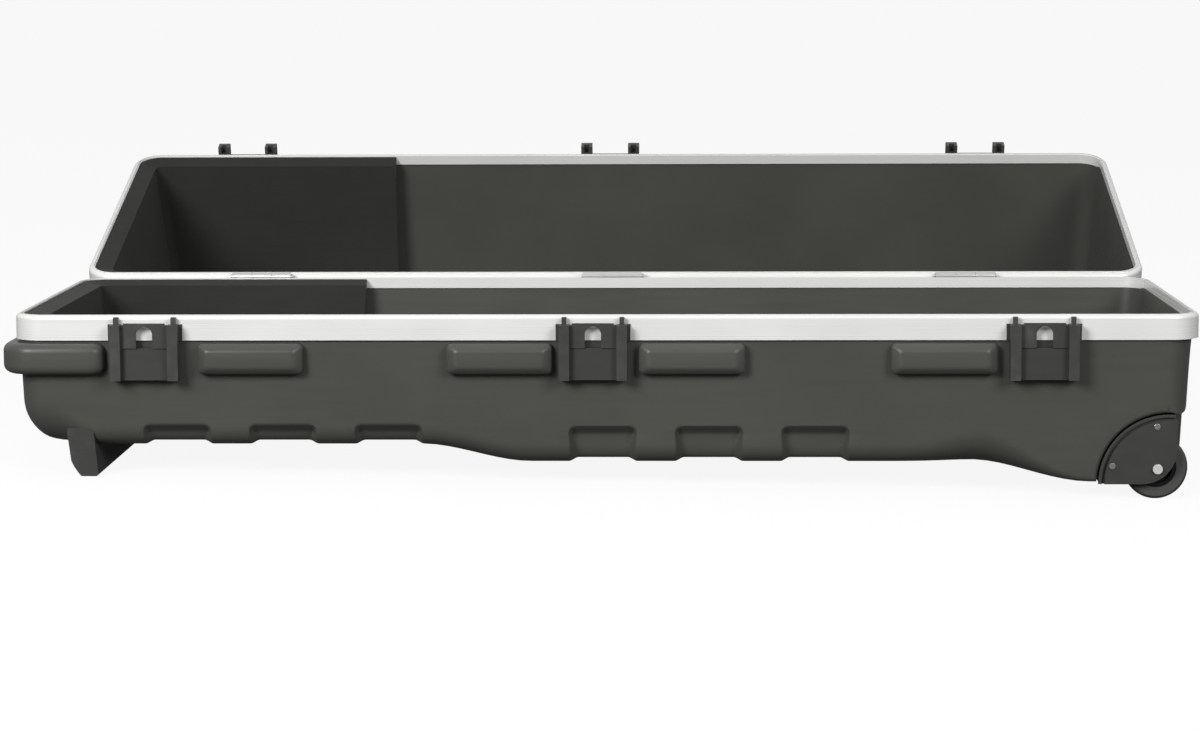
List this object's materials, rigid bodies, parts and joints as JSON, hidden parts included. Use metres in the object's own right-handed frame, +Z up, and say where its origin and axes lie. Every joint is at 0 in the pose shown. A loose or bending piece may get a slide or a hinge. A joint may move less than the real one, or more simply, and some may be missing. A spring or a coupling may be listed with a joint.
{
  "type": "golf travel case",
  "caption": "Hard clamshell case for a golf bag, standing open: flip latches on an aluminium rim, riveted hinges, foam at the club-head end, two wheels, a foot and drop handles.",
  "frame": {"origin": "middle of the open case's bounding box, on the surface that the wheels stand on", "axes": "+X runs from the club-head end to the wheels, +Y from the latches of the base to the hinges and the open lid, +Z up"},
  "size_m": [1.3182, 0.9268, 0.3462],
  "materials": {
    "shell": "moulded polyethylene with a soft sheen",
    "rim": "satin extrusion",
    "foam": "closed-cell foam",
    "trim": "moulded",
    "latch": "moulded, fine grain",
    "trigger": "moulded, fine grain",
    "tyre": "solid rubber",
    "hub": "moulded",
    "screw": "zinc plated",
    "hinge": "zinc plated",
    "wire": "zinc plated",
    "grip": "moulded"
  },
  "bodies": {
    "base": {"base_shell": "shell", "base_valance": "rim", "base_foam_liner": "foam", "foot_runner": "trim", "foot_screws": "screw", "keeper_screws": "screw", "hinge_base_rivets": "rim", "side_plate_screws": "screw", "pull_handle_brackets": "trim", "latch_keeper_left": "latch", "hinge_base_leaf_left": "hinge", "hinge_pin_left": "hinge", "latch_keeper_middle": "latch", "hinge_base_leaf_middle": "hinge", "hinge_pin_middle": "hinge", "latch_keeper_right": "latch", "hinge_base_leaf_right": "hinge", "hinge_pin_right": "hinge", "wheel_axle_bolt_front": "screw", "wheel_spacers_front": "screw", "wheel_side_plate_front": "trim", "wheel_housing_front": "trim", "wheel_axle_bolt_rear": "screw", "wheel_spacers_rear": "screw", "wheel_side_plate_rear": "trim", "wheel_housing_rear": "trim"},
    "lid": {"lid_shell": "shell", "lid_valance": "rim", "lid_foam_liner": "foam", "hinge_lid_rivets": "rim", "carry_handle_brackets": "trim", "latch_guard_left": "latch", "latch_pin_left": "screw", "hinge_lid_leaf_left": "hinge", "latch_guard_middle": "latch", "latch_pin_middle": "screw", "hinge_lid_leaf_middle": "hinge", "latch_guard_right": "latch", "latch_pin_right": "screw", "hinge_lid_leaf_right": "hinge"},
    "carry_handle": {"carry_handle_bail": "wire", "carry_handle_grip": "grip"},
    "pull_handle": {"pull_handle_bail": "wire", "pull_handle_grip": "grip"},
    "latch_lever_left_body": {"latch_lever_left": "latch"},
    "latch_trigger_left_body": {"latch_trigger_left": "trigger"},
    "latch_lever_middle_body": {"latch_lever_middle": "latch"},
    "latch_trigger_middle_body": {"latch_trigger_middle": "trigger"},
    "latch_lever_right_body": {"latch_lever_right": "latch"},
    "latch_trigger_right_body": {"latch_trigger_right": "trigger"},
    "wheel_front": {"wheel_tyre_front": "tyre", "wheel_hub_front": "hub", "wheel_bearings_front": "screw"},
    "wheel_rear": {"wheel_tyre_rear": "tyre", "wheel_hub_rear": "hub", "wheel_bearings_rear": "screw"}
  },
  "joints": [
    {"name": "lid_hinge", "type": "hinge", "parent": "base", "child": "lid", "pos_m": [0.00909, -0.01236, 0.206], "axis": [1, 0, 0], "range_deg": [0, 163.13]},
    {"name": "latch_left_lever", "type": "hinge", "parent": "lid", "child": "latch_lever_left_body", "pos_m": [-0.49291, 0.42412, 0.30284], "axis": [1, 0, 0], "range_deg": [0, 170]},
    {"name": "latch_left_trigger", "type": "slide", "parent": "latch_lever_left_body", "child": "latch_trigger_left_body", "axis": [0, 0.452, -0.892], "range_m": [0, 0.004], "stiffness_N_per_m": 200, "springref_m": -0.002},
    {"name": "latch_middle_lever", "type": "hinge", "parent": "lid", "child": "latch_lever_middle_body", "pos_m": [-0.00291, 0.42412, 0.30284], "axis": [1, 0, 0], "range_deg": [0, 170]},
    {"name": "latch_middle_trigger", "type": "slide", "parent": "latch_lever_middle_body", "child": "latch_trigger_middle_body", "axis": [0, 0.452, -0.892], "range_m": [0, 0.004], "stiffness_N_per_m": 200, "springref_m": -0.002},
    {"name": "latch_right_lever", "type": "hinge", "parent": "lid", "child": "latch_lever_right_body", "pos_m": [0.48709, 0.42412, 0.30284], "axis": [1, 0, 0], "range_deg": [0, 170]},
    {"name": "latch_right_trigger", "type": "slide", "parent": "latch_lever_right_body", "child": "latch_trigger_right_body", "axis": [0, 0.452, -0.892], "range_m": [0, 0.004], "stiffness_N_per_m": 200, "springref_m": -0.002},
    {"name": "wheel_front_axle", "type": "hinge", "parent": "base", "child": "wheel_front", "pos_m": [0.61359, -0.41636, 0.035], "axis": [0, 1, 0], "continuous": true},
    {"name": "wheel_rear_axle", "type": "hinge", "parent": "base", "child": "wheel_rear", "pos_m": [0.61359, -0.05036, 0.035], "axis": [0, 1, 0], "continuous": true},
    {"name": "carry_handle_swing", "type": "hinge", "parent": "lid", "child": "carry_handle", "pos_m": [-0.00291, 0.45463, 0.18042], "axis": [-1, 0, 0], "range_deg": [0, 90]},
    {"name": "pull_handle_swing", "type": "hinge", "parent": "base", "child": "pull_handle", "pos_m": [-0.64909, -0.23336, 0.154], "axis": [0, 1, 0], "range_deg": [0, 90]}
  ]
}
